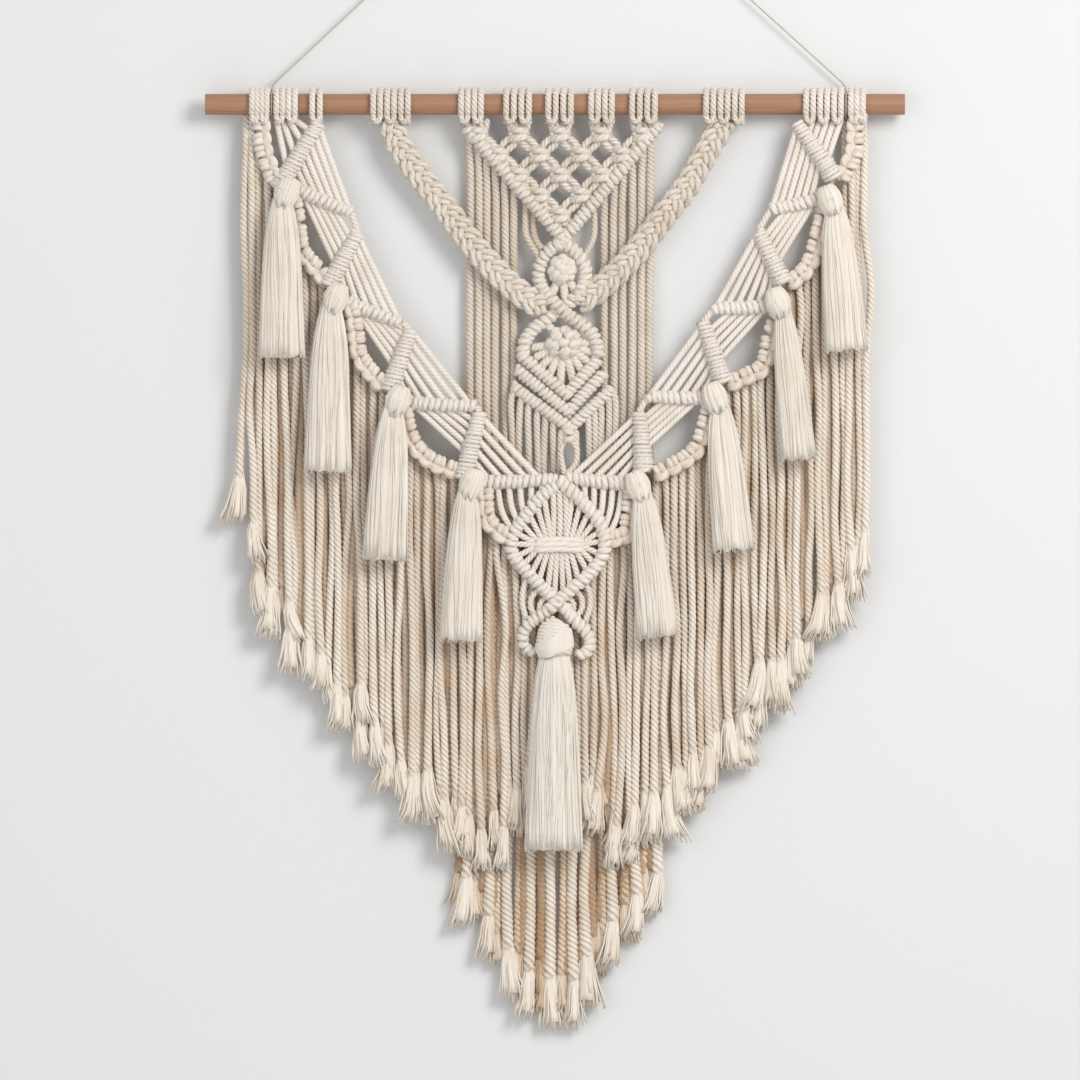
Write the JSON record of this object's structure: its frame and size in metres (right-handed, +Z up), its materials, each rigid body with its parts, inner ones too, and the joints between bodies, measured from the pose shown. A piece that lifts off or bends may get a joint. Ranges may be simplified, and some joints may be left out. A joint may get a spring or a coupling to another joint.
{
  "type": "macrame wall hanging on a wooden dowel",
  "caption": "Knotted cotton wall hanging on a round wooden dowel: square-knot net, plaits, a swag of slanting motifs with tassels, and a long pointed fringe.",
  "frame": {"origin": "on the wall, midway between the two wall pins, at the level where the tied loops of the hanger string rest on them", "axes": "+X to the viewer's right along the dowel, -Y out of the wall towards the viewer, +Z up"},
  "size_m": [0.56, 0.0416, 0.8488],
  "materials": {
    "dowel_wood": "sanded round rod, reddish brown, matt oil",
    "hanger_string": "thin twisted cotton string, greyish cream",
    "cotton_panel": "three-ply twisted cotton cord, natural, matt",
    "cotton_swag": "three-ply twisted cotton cord, natural, matt",
    "cotton_fringe": "three-ply twisted cotton cord with combed-out tips, natural, matt",
    "cotton_tassel": "combed-out cotton yarn, natural, soft sheen"
  },
  "bodies": {
    "root": {"dowel": "dowel_wood", "hanger_string_left": "hanger_string", "hanger_string_right": "hanger_string", "hanger_loop_left": "hanger_string", "hanger_loop_right": "hanger_string", "centre_panel": "cotton_panel", "swag": "cotton_swag", "fringe_left": "cotton_fringe", "fringe_right": "cotton_fringe", "fringe_back": "cotton_fringe", "tassel_left_1": "cotton_tassel", "tassel_left_2": "cotton_tassel", "tassel_left_3": "cotton_tassel", "tassel_left_4": "cotton_tassel", "tassel_right_1": "cotton_tassel", "tassel_right_2": "cotton_tassel", "tassel_right_3": "cotton_tassel", "tassel_right_4": "cotton_tassel", "tassel_centre": "cotton_tassel"}
  },
  "joints": []
}
